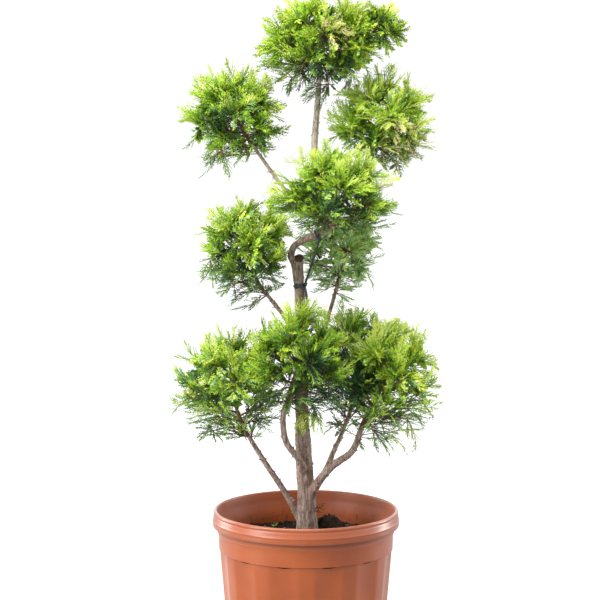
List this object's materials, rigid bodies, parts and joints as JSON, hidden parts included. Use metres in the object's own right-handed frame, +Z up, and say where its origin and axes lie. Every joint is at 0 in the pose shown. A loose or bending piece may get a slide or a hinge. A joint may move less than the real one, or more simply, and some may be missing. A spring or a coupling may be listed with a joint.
{
  "type": "potted pompon leyland cypress",
  "caption": "Small Leyland cypress trained as a pompon tree: a bent trunk and boughs that end in balls of feathery gold-green foliage, in a fluted terracotta-coloured pot.",
  "frame": {"origin": "middle of the pot's flat underside, on the surface that it stands on", "axes": "+Z up along the pot's axis; -Y towards the front, where the viewer of the picture stands; +X to that viewer's right"},
  "size_m": [0.3952, 0.3203, 1.0057],
  "materials": {
    "pot": "satin",
    "soil": "matte",
    "bark": "matte",
    "foliage": "matte",
    "tie": "satin"
  },
  "bodies": {
    "root": {"pot": "pot", "soil": "soil", "trunk": "bark", "lower_left_bough": "bark", "lower_right_bough": "bark", "lower_back_bough": "bark", "lower_front_bough": "bark", "mid_back_bough": "bark", "mid_left_bough": "bark", "centre_bough": "bark", "upper_left_bough": "bark", "upper_right_bough": "bark", "training_tie": "tie", "top_foliage": "foliage", "upper_left_foliage": "foliage", "upper_right_foliage": "foliage", "centre_foliage": "foliage", "mid_left_foliage": "foliage", "mid_back_foliage": "foliage", "lower_left_foliage": "foliage", "lower_front_foliage": "foliage", "lower_right_foliage": "foliage", "lower_back_foliage": "foliage"}
  },
  "joints": []
}
